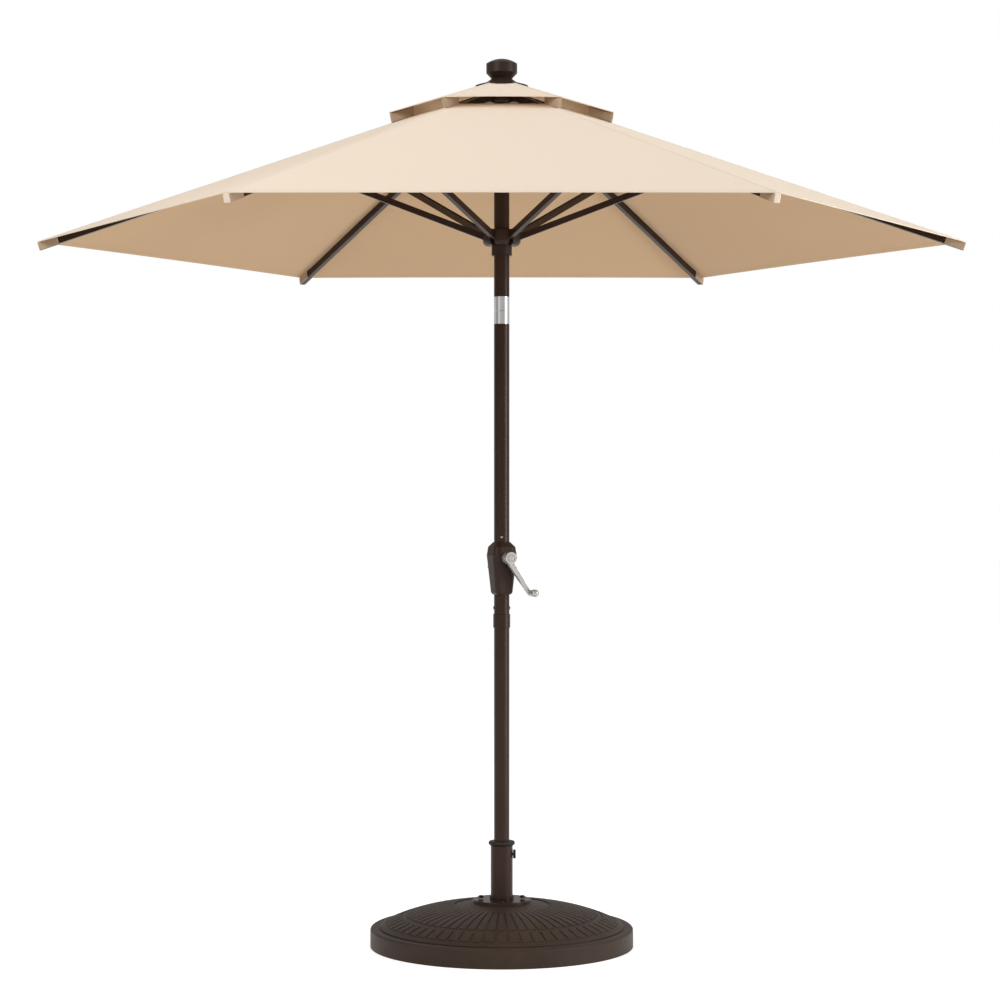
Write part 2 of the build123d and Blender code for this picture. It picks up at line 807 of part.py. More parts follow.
def top_hub():
    """Slotted crown on the pole's end that holds the ribs and takes the finial's stud."""
    bottom = hub_pivot_z - hub_height / 2
    boss_top = vent_apex_z - vent_slope * hub_boss_r - 2 * cloth - side_gap
    with BuildPart() as piece:
        add(ring(hub_r, finial_stud_d / 2 + socket_gap, bottom, hub_top_z))
        chamfer(piece.edges().filter_by(GeomType.CIRCLE).group_by(SortBy.RADIUS)[-1], 1.5)
        add(ring(hub_boss_r, finial_stud_d / 2 + socket_gap, hub_top_z, boss_top))
        with BuildSketch(Plane.XY.offset(bottom)):
            Circle(pole_r + socket_gap)
        extrude(amount=hub_bore_depth + socket_gap, mode=Mode.SUBTRACT)
        add(spoke_slots(hub_pivot_z), mode=Mode.SUBTRACT)
        add(pivot_pins(hub_pivot_z), mode=Mode.SUBTRACT)
    return piece.part


def runner():
    """Slotted ring and collar that slide on the pole and carry the struts."""
    bottom = runner_pivot_z - runner_flange_height / 2
    with BuildPart() as piece:
        add(ring(hub_r, runner_bore_r, bottom, bottom + runner_flange_height))
        rims = piece.edges().filter_by(GeomType.CIRCLE).group_by(SortBy.RADIUS)[-1].sort_by(Axis.Z)
        fillet(rims[0], runner_round)
        chamfer(piece.edges().filter_by(GeomType.CIRCLE).group_by(Axis.Z)[-1].sort_by(SortBy.RADIUS)[-1], 3)
        add(ring(runner_collar_r, runner_bore_r, bottom - runner_collar_height, bottom))
        add(spoke_slots(runner_pivot_z), mode=Mode.SUBTRACT)
        add(pivot_pins(runner_pivot_z), mode=Mode.SUBTRACT)
    return piece.part


def finial_skirt():
    """Flared cap that clamps the vent cloth to the hub."""
    edge_z = vent_apex_z - vent_slope * skirt_r + cloth_gap
    bore = finial_stud_d / 2 + socket_gap
    return turned(
        (bore, vent_apex_z - vent_slope * bore + cloth_gap),
        (skirt_r, edge_z),
        (skirt_r, edge_z + skirt_edge),
        (skirt_waist_r, finial_neck_z - skirt_waist_fall),
        (finial_neck_r, finial_neck_z),
        (bore, finial_neck_z),
    )


def finial_knob():
    """Turned knob with the stud that screws into the hub."""
    low, high = finial_neck_z + finial_flare, total_height - finial_crown
    middle_r, middle_drop = cap_middle(finial_r, finial_crown)
    with BuildPart() as piece:
        with BuildSketch(Plane.XZ):
            with BuildLine():
                Polyline((0, total_height), (0, finial_neck_z), (finial_neck_r, finial_neck_z))
                Polyline((finial_neck_r, finial_neck_z), (finial_r, low), (finial_r, high))
                ThreePointArc(
                    (finial_r, high),
                    (middle_r, total_height - middle_drop),
                    (0, total_height),
                )
            make_face()
        revolve(axis=Axis.Z)
        with BuildSketch(Plane.XY.offset(finial_neck_z)):
            Circle(finial_stud_d / 2)
        extrude(amount=-finial_stud_length)
    return piece.part


def top_pulley():
    """Grooved wheel inside the pole's end over which the lift cord turns."""
    with BuildPart() as piece:
        with BuildSketch(Plane((0, 0, pulley_z), x_dir=(1, 0, 0), z_dir=(0, -1, 0))):
            with BuildLine():
                Polyline(
                    (-pulley_width / 2, pivot_pin_d / 2 + running_gap),
                    (-pulley_width / 2, pulley_r),
                    (0, pulley_r - pulley_groove),
                    (pulley_width / 2, pulley_r),
                    (pulley_width / 2, pivot_pin_d / 2 + running_gap),
                    close=True,
                )
            make_face()
        revolve(axis=Axis((0, 0, pulley_z), (1, 0, 0)))
    return piece.part


def pulley_pin():
    """Pin across the pole that carries the pulley."""
    with BuildPart() as piece:
        with Locations((0, 0, pulley_z)):
            Cylinder(pivot_pin_d / 2, pole_d - 2, rotation=(0, 90, 0))
    return piece.part


def rib():
    """Rib tube along +X with a rounded solid end on the hub pin."""
    with BuildPart() as piece:
        with BuildSketch(rib_side):
            Circle(rib_height / 2)
            Rectangle(rib_length, rib_height, align=(Align.MIN, Align.CENTER))
            Circle(pivot_pin_d / 2 + running_gap, mode=Mode.SUBTRACT)
        extrude(amount=rib_width / 2, both=True)
        with BuildSketch(rib_side):
            with Locations((2 * rib_height, 0)):
                Rectangle(rib_length, rib_height - 2 * rib_wall, align=(Align.MIN, Align.CENTER))
        extrude(amount=rib_width / 2 - rib_wall, both=True, mode=Mode.SUBTRACT)
    return piece.part


def rib_bracket():
    """Saddle under the rib whose two cheeks and pin hold the strut's outer end."""
    inner = strut_width / 2 + side_gap
    base = -rib_height / 2
    half = bracket_length / 2
    with BuildPart() as piece:
        with BuildSketch(rib_side):
            with Locations((bracket_s, -bracket_offset)):
                Circle(strut_height / 2 + 1)
            Polygon(
                (bracket_s - half, base + bracket_lap),
                (bracket_s - half, base - bracket_web),
                (bracket_s - strut_height / 2 - 1, -bracket_offset),
                (bracket_s + strut_height / 2 + 1, -bracket_offset),
                (bracket_s + half, base - bracket_web),
                (bracket_s + half, base + bracket_lap),
                align=None,
            )
        extrude(amount=inner + bracket_cheek, both=True)
        with BuildSketch(rib_side):
            with Locations((bracket_s, base)):
                Rectangle(2 * bracket_length, 2 * rib_height, align=(Align.CENTER, Align.MIN))
            with Locations((bracket_s, base - bracket_web)):
                Rectangle(2 * bracket_length, 2 * rib_height, align=(Align.CENTER, Align.MAX))
        extrude(amount=inner, both=True, mode=Mode.SUBTRACT)
        with BuildSketch(rib_side):
            with Locations((bracket_s, -bracket_offset)):
                Circle(pivot_pin_d / 2)
        extrude(amount=inner + bracket_cheek, both=True)
    return piece.part


def strut():
    """Open channel with rounded ends that runs from the runner to the rib's bracket along +X."""
    floor = strut_wall - strut_height / 2
    with BuildPart() as piece:
        with BuildSketch(strut_side):
            with Locations((strut_length / 2, 0)):
                SlotCenterToCenter(strut_length, strut_height)
            with Locations((0, 0), (strut_length, 0)):
                Circle(pivot_pin_d / 2 + running_gap, mode=Mode.SUBTRACT)
        extrude(amount=strut_width / 2, both=True)
        with BuildSketch(strut_side):
            with Locations((strut_length / 2, floor)):
                Rectangle(
                    strut_length - 2 * strut_channel_inset,
                    strut_height,
                    align=(Align.CENTER, Align.MIN),
                )
        extrude(amount=strut_width / 2 - strut_wall, both=True, mode=Mode.SUBTRACT)
    return piece.part


def petal(apex_z, slope, inner_r, outer_r):
    """Sixth part of a hexagonal cloth pyramid, centred on the rib along +X."""
    fall = slope * tan(radians(30))
    wide = outer_r
    depth = cloth * sqrt(1 + slope**2 + fall**2)
    with BuildPart() as piece:
        with BuildSketch(Plane.YZ):
            Polygon(
                (0, apex_z),
                (wide, apex_z - fall * wide),
                (wide, apex_z - fall * wide - depth),
                (0, apex_z - depth),
                (-wide, apex_z - fall * wide - depth),
                (-wide, apex_z - fall * wide),
                align=None,
            )
        extrude(amount=2 * outer_r, dir=(1, 0, -slope))
        with BuildSketch(Plane.XY):
            Polygon(
                (inner_r, 0),
                (0.75 * inner_r, -inner_r * sqrt(3) / 4),
                (0.75 * outer_r, -outer_r * sqrt(3) / 4),
                (outer_r, 0),
                (0.75 * outer_r, outer_r * sqrt(3) / 4),
                (0.75 * inner_r, inner_r * sqrt(3) / 4),
                align=None,
            )
        extrude(amount=2 * apex_z, mode=Mode.INTERSECT)
        for side in (-1, 1):
            seam = (cos(radians(30)), side * sin(radians(30)), 0)
            with BuildSketch(Plane((0, 0, 0), x_dir=seam, z_dir=(0, 0, 1))):
                Rectangle(4 * outer_r, 2 * petal_gap)
            extrude(amount=2 * apex_z, mode=Mode.SUBTRACT)
    return piece.part


def canopy_cloth():
    """One gore of cloth on the rib along +X: main panel, tip pocket, vent panel and tab."""
    inner = rib_width / 2 + cloth_gap
    under = -rib_height / 2
    seat = rib_length + cloth_gap
    tab_x = vent_r - vent_tab_inset
    tab_y = vent_tab_width / 2
    tab_top = vent_apex_z - vent_slope * tab_x - cloth / 2
    tab_foot = canopy_apex_z - canopy_slope * tab_x - cloth
    with BuildPart() as piece:
        add(petal(canopy_apex_z, canopy_slope, canopy_opening_r, canopy_r))
        add(petal(vent_apex_z, vent_slope, vent_hole_r, vent_r))
        with BuildSketch(rib_side):
            with Locations((seat - pocket_length, under)):
                Rectangle(pocket_length + cloth, rib_height + cloth_gap + cloth, align=Align.MIN)
        extrude(amount=inner + cloth, both=True)
        with BuildSketch(rib_side):
            with Locations((seat - 2 * pocket_length, under - cloth)):
                Rectangle(2 * pocket_length, rib_height + cloth_gap + cloth, align=Align.MIN)
        extrude(amount=inner, both=True, mode=Mode.SUBTRACT)
        with BuildSketch(Plane.YZ.offset(tab_x)):
            Polygon(
                (0, tab_top),
                (-tab_y, tab_top - vent_fall * tab_y),
                (-tab_y, tab_foot - panel_fall * tab_y),
                (0, tab_foot),
                (tab_y, tab_foot - panel_fall * tab_y),
                (tab_y, tab_top - vent_fall * tab_y),
                align=None,
            )
        extrude(amount=cloth)
    return piece.part


os.makedirs("parts", exist_ok=True)

single_pieces = {
    "base_plate": base_plate(),
    "stem_flange": stem_flange(),
    "flange_bolts": flange_bolts(),
    "stem_tube": stem_tube(),
    "stem_bush": stem_bush(),
    "stem_screw": stem_screw(),
    "stem_knob": stem_knob(),
    "lower_pole": lower_pole(),
    "pole_coupling": pole_coupling(),
    "push_button_right": push_button(),
    "push_button_left": Rot(0, 0, 180) * push_button(),
    "mid_pole": mid_pole(),
    "pole_rivet": pole_rivet(),
    "tilt_lower": tilt_lower(),
    "tilt_upper": tilt_upper(),
    "tilt_pin": tilt_pin(),
    "tilt_button": tilt_button(),
    "upper_pole": upper_pole(),
    "crank_housing_front": housing_half(True),
    "crank_housing_rear": housing_half(False),
    "housing_screws": housing_screws(),
    "crank_shaft": crank_shaft(),
    "cord_spool": cord_spool(),
    "crank_arm": crank_arm(),
    "crank_cap": crank_cap(),
    "crank_knob": crank_knob(),
    "top_hub": top_hub(),
    "hub_pins": pivot_pins(hub_pivot_z),
    "finial_skirt": finial_skirt(),
    "finial_knob": finial_knob(),
    "top_pulley": top_pulley(),
    "pulley_pin": pulley_pin(),
    "runner": runner(),
    "runner_pins": pivot_pins(runner_pivot_z),
}
for name, piece in single_pieces.items():
    piece.label = name
    export_step(piece, f"parts/{name}.step")

spoke_pieces = {
    "rib": rib(),
    "rib_bracket": rib_bracket(),
    "strut": strut(),
    "canopy": canopy_cloth(),
}
for name, piece in spoke_pieces.items():
    for number in range(rib_count):
        copy = Rot(0, 0, 360 / rib_count * number) * piece
        copy.label = f"{name}_{number + 1}"
        export_step(copy, f"parts/{copy.label}.step")
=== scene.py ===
"""Looks of the patio umbrella: its cloth as numpy surfaces, the finishes of its frame, and the stage."""

import json
from functools import partial
from math import cos, pi, radians, sin
from typing import NamedTuple

import bpy
import numpy as np
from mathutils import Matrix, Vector


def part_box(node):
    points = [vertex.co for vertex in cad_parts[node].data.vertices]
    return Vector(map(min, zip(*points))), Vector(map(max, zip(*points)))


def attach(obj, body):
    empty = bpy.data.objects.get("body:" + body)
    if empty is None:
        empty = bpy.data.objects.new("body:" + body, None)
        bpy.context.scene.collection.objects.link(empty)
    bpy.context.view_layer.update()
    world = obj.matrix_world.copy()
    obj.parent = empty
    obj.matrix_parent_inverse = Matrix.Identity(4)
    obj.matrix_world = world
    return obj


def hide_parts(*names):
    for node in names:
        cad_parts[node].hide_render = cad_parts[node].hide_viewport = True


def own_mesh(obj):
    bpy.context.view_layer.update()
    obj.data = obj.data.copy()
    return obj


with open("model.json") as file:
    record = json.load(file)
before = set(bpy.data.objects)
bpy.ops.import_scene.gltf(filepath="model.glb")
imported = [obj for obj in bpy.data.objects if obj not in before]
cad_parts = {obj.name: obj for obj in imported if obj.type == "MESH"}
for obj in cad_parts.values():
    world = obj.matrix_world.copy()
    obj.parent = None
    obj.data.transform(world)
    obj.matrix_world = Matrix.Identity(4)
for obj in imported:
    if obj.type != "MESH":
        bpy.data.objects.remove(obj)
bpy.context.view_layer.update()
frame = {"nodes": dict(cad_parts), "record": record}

bl_info = {
    "name": "Patio umbrella",
    "version": (1, 0, 0),
    "blender": (4, 5, 0),
    "location": "View3D > Sidebar > Umbrella",
    "description": "Builds the cloth, finishes and stage of a patio umbrella",
    "category": "Object",
}

# Frame that carries the cloth: its ribs, the first rib's pivot in the hub, and the turn that closes it
RIBS = 6
RIB_HALF_HEIGHT = 0.009
HUB_PIVOT = np.array([0.038, 0, 2.08674])
FOLD_ANGLE = 1.07337749

# Grids of the cloth, rows by columns, and how much they crowd towards the hem and the rib
CANOPY_GRID = (70, 33)
VENT_GRID = (40, 21)
POCKET_GRID = (24, 41)
TAPE_COLUMNS = 17
ROW_CROWDING = 1.5
COLUMN_CROWDING = 1.4
SIDES = ((1, "right"), (-1, "left"))

# Tape under the joint of two halves: its start below their top, and the droop of its sides in 1/m
TAPE_START = 0.002
TAPE_DROOP = 3.7

# Pockets: squareness of the arch, share of the rows before the end wall, and how that wall closes
ARCH_POWER = 0.3
WALL_START = 0.75
WALL_CLOSING = 0.97
WALL_POWER = 1.5
WALL_BULGE = 0.002

# Distance from a corner of the vent to the end of its pocket
VENT_POCKET_INSET = 0.003

# Sewing: edge of a fold, stitch rows as shares of hem and seam, and rates in radians per metre
FOLD_EDGE = 0.002
HEM_ROW = 0.88
SEAM_ROW = 0.8
ROW_HALF_WIDTH = 0.0009
STITCH_RATE = 1600.0
STITCH_LEVEL = -0.4
THREAD_RATE = 2800.0

# Relief of a fold and of the weave, beside a stitch of 1
EDGE_RELIEF = 0.8
WEAVE_RELIEF = 0.25

# Colour of folds and stitches as shares of the cloth's own, and how far that drifts darker
EDGE_TONE = 0.97
STITCH_TONE = 0.8
TOP_DRIFT = 0.05
INNER_DRIFT = 0.08

# Noise values over which roughness runs from low to high, and gloss of the hard finishes
NOISE_RANGE = (0.3, 0.7)
FINISH_SPECULAR = 0.17

# Floor: reach, depth below the base, glow and drift of its tone
FLOOR_REACH = 40.0
FLOOR_DEPTH = 0.0005
FLOOR_GLOW = 0.7
FLOOR_DRIFT = 0.01

# Surroundings: share of white that metal shows, light of a white wall, and tone of the back wall
MIRRORED_WHITE = 0.2
WALL_STRENGTH = 1.8
WALL_TONE = 0.5

# Tones of walls and screens by share of a turn from the back through left, front and right
SCREENS = (
    (0.22, 0.45),
    (0.27, 0.16),
    (0.33, 0.16),
    (0.36, 0.7),
    (0.42, 0.7),
    (0.45, 0.4),
    (0.60, 0.35),
    (0.64, 1.0),
    (0.74, 1.0),
    (0.78, 0.5),
)

# Below these, a point lies on the rib's own plane, and a quad has no area
ON_PLANE = 1e-9
NO_AREA = 1e-12


class Tier(NamedTuple):
    """One tier of the canopy: apex and fall of its hips, corner radii, bow of the hem, hollow, and grid."""

    apex: float
    slope: float
    inner: float
    outer: float
    bow: float
    sag: float
    grid: tuple


class Pocket(NamedTuple):
    """Pocket over a rib: length, half width, heights of foot and top, lean of its wall, and pale share, its
    width free of painted shade.
    """

    length: float
    half_width: float
    foot: float
    top: float
    lean: float
    pale: float


class Look(NamedTuple):
    """Look of a hard finish: spread of its colour, metal share, range of roughness, and its grain."""

    spread: float
    metallic: float
    roughness: tuple
    coarse: float
    fine: float
    depth: float


# Past its pale share a pocket's sides take painted shade; the vent pockets, with a pale share of 0, are
# painted in shade all over
TIP_POCKET = Pocket(length=0.050, half_width=0.0085, foot=-0.0095, top=0.0112, lean=0.0, pale=0.9)
VENT_POCKET = Pocket(length=0.062, half_width=0.007, foot=-0.0265, top=-0.0025, lean=0.006, pale=0.0)


def rib_turn(number):
    """Azimuth of a rib, counted from 1, in radians."""
    return 2 * pi / RIBS * (number - 1)


def turned(points, angle):
    """Points turned about the vertical axis: x' = x cos a - y sin a, y' = x sin a + y cos a."""
    x, y, z = points[..., 0], points[..., 1], points[..., 2]
    return np.stack([x * cos(angle) - y * sin(angle), x * sin(angle) + y * cos(angle), z], axis=-1)


def rows_down(rows):
    """Share v of the way down a cloth, closer together towards the hem: v = 1 - (1 - t)^ROW_CROWDING."""
    return 1 - (1 - np.linspace(0, 1, rows)[:, None]) ** ROW_CROWDING


def columns_out(columns, side):
    """Place u across half a gore, u = side t^COLUMN_CROWDING, from left to right as seen from outside."""
    share = np.linspace(0, 1, columns)[None, :] ** COLUMN_CROWDING
    return share if side > 0 else -share[:, ::-1]


def edge_columns(side):
    """Columns of half a gore that lie on the rib and on the seam."""
    return (0, -1) if side > 0 else (-1, 0)


def gore(tier, u, v):
    """Part of one sixth of a hexagonal cloth pyramid about the rib along +X: points and cloth coordinates.

    With u across it, 0 on the rib and 1 or -1 at a seam, v from 0 to 1 down it, and w = |u| (2 - |u|):
    ring r = inner + v (outer (1 - bow w) - inner), x = r (1 - |u| / 4), y = r u sqrt(3) / 4,
    z = apex - slope r - sag u^2 (3 - 2 |u|) sin(pi v). Cloth coordinates are y and what r lacks at the hem.
    """
    size = np.abs(u)
    edge = tier.outer * (1 - tier.bow * size * (2 - size))
    ring = tier.inner + v * (edge - tier.inner)
    y = ring * u * np.sqrt(3) / 4
    z = tier.apex - tier.slope * ring - tier.sag * u**2 * (3 - 2 * size) * np.sin(pi * v)
    points = np.stack([ring * (1 - size / 4), y, z], axis=-1)
    cloth = np.stack([y, (edge - ring) * np.ones_like(y)], axis=-1)
    return points, cloth


def furl(half, side, gap):
    """Axis, anchor and share kept of the squash that draws half a gore in, within its plane.

    Its corner c on the rib stays, and its seam closes. s0 and s1 are the seam's ends, and h0 and h1 say
    how far they lie, once the rib is folded, past a plane with normal n that is gap short of the middle
    between two ribs. The axis d is at right angles to h0 (s1 - c) - h1 (s0 - c). With e the axis once the
    rib is folded, keep = 1 - h1 / (((s1 - c) . d) (n . e)).
    """
    rib, seam = edge_columns(side)
    corner, first, last = half[-1, rib], half[0, seam], half[-1, seam]
    sine, cosine = sin(FOLD_ANGLE), cos(FOLD_ANGLE)
    turn = np.array([[cosine, 0, sine], [0, 1, 0], [-sine, 0, cosine]])
    between = np.array([-0.5, side * np.sqrt(3) / 2, 0])
    past = [float(between @ (turn @ (end - HUB_PIVOT) + HUB_PIVOT)) + gap for end in (first, last)]
    level = np.cross(last - corner, first - corner)
    axis = np.cross(level, past[0] * (last - corner) - past[1] * (first - corner))
    axis /= np.linalg.norm(axis)
    reach = float((last - corner) @ axis) * float(between @ turn @ axis)
    return axis, corner, 1 - past[1] / reach


def hood(pocket, end, along, upward):
    """Cloth pocket over a rib: an arch swept along a straight path, drawn in to a flat wall at its end.

    With t from pi to 0 across it and p = ARCH_POWER, the arch is y = half_width |cos t|^p with the sign of
    cos t, and rise = foot + (top - foot) |sin t|^p. Past the path's end the arch shrinks about the middle
    of its foot, and lean draws the foot of the wall inwards.
    """
    rows, columns = POCKET_GRID
    t = np.linspace(pi, 0, columns)[None, :]
    k = np.linspace(0, 1, rows)[:, None]
    straight = np.minimum(k / WALL_START, 1)
    wall = np.clip((k - WALL_START) / (1 - WALL_START), 0, 1)
    shrink = 1 - WALL_CLOSING * wall**WALL_POWER
    share = np.abs(np.sin(t)) ** ARCH_POWER * shrink
    across = np.sign(np.cos(t)) * np.abs(np.cos(t)) ** ARCH_POWER * pocket.half_width * shrink
    rise = pocket.foot + (pocket.top - pocket.foot) * share
    start = end - pocket.length
    path = start + (end - start) * straight + WALL_BULGE * np.sin(wall * pi / 2)
    length = path - pocket.lean * (1 - share) * straight
    points = np.array(along) * length[..., None] + np.array(upward) * rise[..., None]
    points[..., 1] += across
    cloth = np.stack([across + 0 * length, length], axis=-1)
    return points, cloth


def sewn_height(cloth, hem, seam, height):
    """Extra height of the hem fold and of the seam over the rib, each with an edge FOLD_EDGE wide."""
    at_hem = np.clip((hem - cloth[..., 1]) / FOLD_EDGE, 0, 1)
    at_seam = np.clip((seam - np.abs(cloth[..., 0])) / FOLD_EDGE, 0, 1)
    return height * np.maximum(at_hem, at_seam)[..., None]


def grid_normal(points):
    """Unit normals of a grid, dr x dc. Points on the rib's own plane take a normal within it."""
    normal = np.cross(np.gradient(points, axis=0), np.gradient(points, axis=1))
    normal[np.abs(points[..., 1]) < ON_PLANE, 1] = 0
    return normal / np.maximum(np.linalg.norm(normal, axis=-1, keepdims=True), NO_AREA)


def cloth_mesh(name, points, normal, cloth, thickness, raised=0.0, painted_shade=False):
    """Closed mesh of a cloth of that thickness under a grid of points.

    Its UV map holds the cloth coordinates. The outer side is raised along the normal. The inner side takes
    the second material, as do outer quads marked for painted shade, which take that colour in place of
    shade.
    The rim's edges are sharp.
    """
    rows, columns = points.shape[:2]
    both = np.stack([points + raised * normal, points - thickness * normal])
    index = np.arange(2 * rows * columns).reshape(2, rows, columns)
    corners = (index[:, :-1, :-1], index[:, 1:, :-1], index[:, 1:, 1:], index[:, :-1, 1:])
    quads = np.stack(corners, axis=-1)
    outer, inner = quads[0].reshape(-1, 4), quads[1].reshape(-1, 4)[:, ::-1]
    edges = (index[:, 0, :-1], index[:, :-1, -1], index[:, -1, :0:-1], index[:, :0:-1, 0])
    loop = np.concatenate(edges, axis=1)
    after = np.roll(loop, -1, axis=1)
    rim = np.stack([loop[0], after[0], after[1], loop[1]], axis=-1)
    faces = np.concatenate([outer, inner, rim])
    mesh = bpy.data.meshes.new(name)
    mesh.from_pydata(both.reshape(-1, 3).tolist(), [], faces.tolist())
    second = np.zeros(len(faces), dtype=np.int32)
    second[: len(outer)] = np.broadcast_to(painted_shade, (rows - 1, columns - 1)).reshape(-1)
    second[len(outer) : -len(rim)] = 1
    mesh.polygons.foreach_set("material_index", second)
    mesh.polygons.foreach_set("use_smooth", np.ones(len(faces), dtype=bool))
    ends = np.empty(2 * len(mesh.edges), dtype=np.int32)
    mesh.edges.foreach_get("vertices", ends)
    mesh.edges.foreach_set("use_edge_sharp", np.isin(ends, loop).reshape(-1, 2).all(axis=1))
    flat = np.concatenate([cloth.reshape(-1, 2)] * 2).astype(np.float32)
    layer = mesh.uv_layers.new(name="cloth")
    layer.data.foreach_set("uv", flat[faces.reshape(-1)].reshape(-1))
    mesh.update()
    return mesh


def add_object(name, data):
    """New object in the scene, at the origin."""
    made = bpy.data.objects.new(name, data)
    bpy.context.scene.collection.objects.link(made)
    return made


def add_node(tree, kind, values=(), **settings):
    """New shader node with its settings, and its sockets' constants by name or number."""
    node = tree.nodes.new(kind)
    for key, value in settings.items():
        setattr(node, key, value)
    for key, value in values:
        node.inputs[key].default_value = value
    return node


def feed(tree, socket, value):
    """Gives a socket a link from another socket, or a constant."""
    if isinstance(value, bpy.types.NodeSocket):
        tree.links.new(value, socket)
    else:
        socket.default_value = value


def worked_out(tree, operation, *values):
    """Result of a Math node on constants or sockets."""
    node = add_node(tree, "ShaderNodeMath", operation=operation)
    for socket, value in zip(node.inputs, values):
        feed(tree, socket, value)
    return node.outputs[0]


def mixed(tree, factor, first, second):
    """Colour mix of two constants or sockets by a factor socket.

    The node's colours are its inputs 6 and 7 and its output 2.
    """
    mix = add_node(tree, "ShaderNodeMix", data_type="RGBA")
    tree.links.new(factor, mix.inputs[0])
    feed(tree, mix.inputs[6], first)
    feed(tree, mix.inputs[7], second)
    return mix.outputs[2]


def toned(colour, share=1.0):
    """Colour times a share, up to white, with full alpha."""
    return [*(min(1.0, c * share) for c in colour[:3]), 1.0]


def ranged(tree, value, low, high):
    """Noise stretched between two limits."""
    middle = (("From Min", NOISE_RANGE[0]), ("From Max", NOISE_RANGE[1]))
    node = add_node(tree, "ShaderNodeMapRange", (*middle, ("To Min", low), ("To Max", high)))
    tree.links.new(value, node.inputs["Value"])
    return node.outputs["Result"]


def new_group(name, inputs, outputs):
    """Empty shader node group with float, vector or colour sockets."""
    tree = bpy.data.node_groups.new(name, "ShaderNodeTree")
    for direction, sockets in (("INPUT", inputs), ("OUTPUT", outputs)):
        for label, kind in sockets:
            tree.interface.new_socket(name=label, in_out=direction, socket_type=f"NodeSocket{kind}")
    return tree, tree.nodes.new("NodeGroupInput"), tree.nodes.new("NodeGroupOutput")


def grain_group():
    """Noise in object space: a coarse mask for colour, a fine value for roughness, and its bump normal."""
    tree, entry, leave = new_group(
        "Grain",
        (("Coarse", "Float"), ("Fine", "Float"), ("Depth", "Float")),
        (("Mask", "Float"), ("Value", "Float"), ("Normal", "Vector")),
    )
    where = add_node(tree, "ShaderNodeTexCoord")
    coarse = add_node(tree, "ShaderNodeTexNoise", (("Detail", 3.0), ("Roughness", 0.55)))
    fine = add_node(tree, "ShaderNodeTexNoise", (("Detail", 2.0), ("Roughness", 0.6)))
    bump = add_node(tree, "ShaderNodeBump", (("Strength", 0.35),))
    links = tree.links
    for noise, size in ((coarse, "Coarse"), (fine, "Fine")):
        links.new(where.outputs["Object"], noise.inputs["Vector"])
        links.new(entry.outputs[size], noise.inputs["Scale"])
    links.new(fine.outputs["Fac"], bump.inputs["Height"])
    links.new(entry.outputs["Depth"], bump.inputs["Distance"])
    links.new(coarse.outputs["Fac"], leave.inputs["Mask"])
    links.new(fine.outputs["Fac"], leave.inputs["Value"])
    links.new(bump.outputs["Normal"], leave.inputs["Normal"])
    return tree


def weave_group():
    """Canvas from cloth coordinates x and y in metres: weave, hem fold, stitch rows and seam over the rib.

    The weave is (1 + sin(thread x) sin(thread y)) / 2. A row shows a stitch where a sine along it is above
    STITCH_LEVEL.
    """
    tree, entry, leave = new_group(
        "Canvas",
        (("Thread", "Float"), ("Hem", "Float"), ("Seam", "Float")),
        (("Weave", "Float"), ("Edge", "Float"), ("Stitch", "Float"), ("Normal", "Vector")),
    )
    maths = partial(worked_out, tree)

    def wave(length, rate):
        """Sine along a length, at a rate in radians per metre."""
        return maths("SINE", maths("MULTIPLY", length, rate))

    where = add_node(tree, "ShaderNodeUVMap", uv_map="cloth")
    split = add_node(tree, "ShaderNodeSeparateXYZ")
    tree.links.new(where.outputs["UV"], split.inputs[0])
    across, up = split.outputs["X"], split.outputs["Y"]
    thread, hem, seam = (entry.outputs[label] for label in ("Thread", "Hem", "Seam"))
    weave = maths("MULTIPLY_ADD", maths("MULTIPLY", wave(across, thread), wave(up, thread)), 0.5, 0.5)
    off_rib = maths("ABSOLUTE", across)
    edge = maths("MAXIMUM", maths("LESS_THAN", up, hem), maths("LESS_THAN", off_rib, seam))
    hem_row = maths("COMPARE", up, maths("MULTIPLY", hem, HEM_ROW), ROW_HALF_WIDTH)
    seam_row = maths("COMPARE", off_rib, maths("MULTIPLY", seam, SEAM_ROW), ROW_HALF_WIDTH)
    hem_stitch = maths("MULTIPLY", hem_row, maths("GREATER_THAN", wave(across, STITCH_RATE), STITCH_LEVEL))
    seam_stitch = maths("MULTIPLY", seam_row, maths("GREATER_THAN", wave(up, STITCH_RATE), STITCH_LEVEL))
    stitch = maths("MAXIMUM", hem_stitch, seam_stitch)
    height = maths("ADD", maths("MULTIPLY", edge, EDGE_RELIEF), maths("MULTIPLY", weave, WEAVE_RELIEF))
    bump = add_node(tree, "ShaderNodeBump", (("Strength", 0.5), ("Distance", 0.0006)))
    tree.links.new(maths("SUBTRACT", height, stitch), bump.inputs["Height"])
    for label, value in (("Weave", weave), ("Edge", edge), ("Stitch", stitch)):
        tree.links.new(value, leave.inputs[label])
    tree.links.new(bump.outputs["Normal"], leave.inputs["Normal"])
    return tree


def shared_group(name, build):
    """Node group of that name, built once."""
    return bpy.data.node_groups.get(name) or build()


def grain_node(tree, coarse, fine=0.0, depth=0.0):
    """Grain in a material, with its own scales of noise and depth of bump."""
    values = (("Coarse", coarse), ("Fine", fine), ("Depth", depth))
    return add_node(tree, "ShaderNodeGroup", values, node_tree=shared_group("Grain", grain_group))


def canvas_node(tree, hem, seam):
    """Canvas in a material, with its own widths of hem and seam."""
    values = (("Thread", THREAD_RATE), ("Hem", hem), ("Seam", seam))
    return add_node(tree, "ShaderNodeGroup", values, node_tree=shared_group("Canvas", weave_group))


def new_material(name):
    """Empty node material with its Principled shader joined to the output."""
    material = bpy.data.materials.new(name)
    material.use_nodes = True
    material.node_tree.nodes.clear()
    tree = material.node_tree
    shader = add_node(tree, "ShaderNodeBsdfPrincipled")
    surface = add_node(tree, "ShaderNodeOutputMaterial")
    tree.links.new(shader.outputs["BSDF"], surface.inputs["Surface"])
    return material, tree, shader


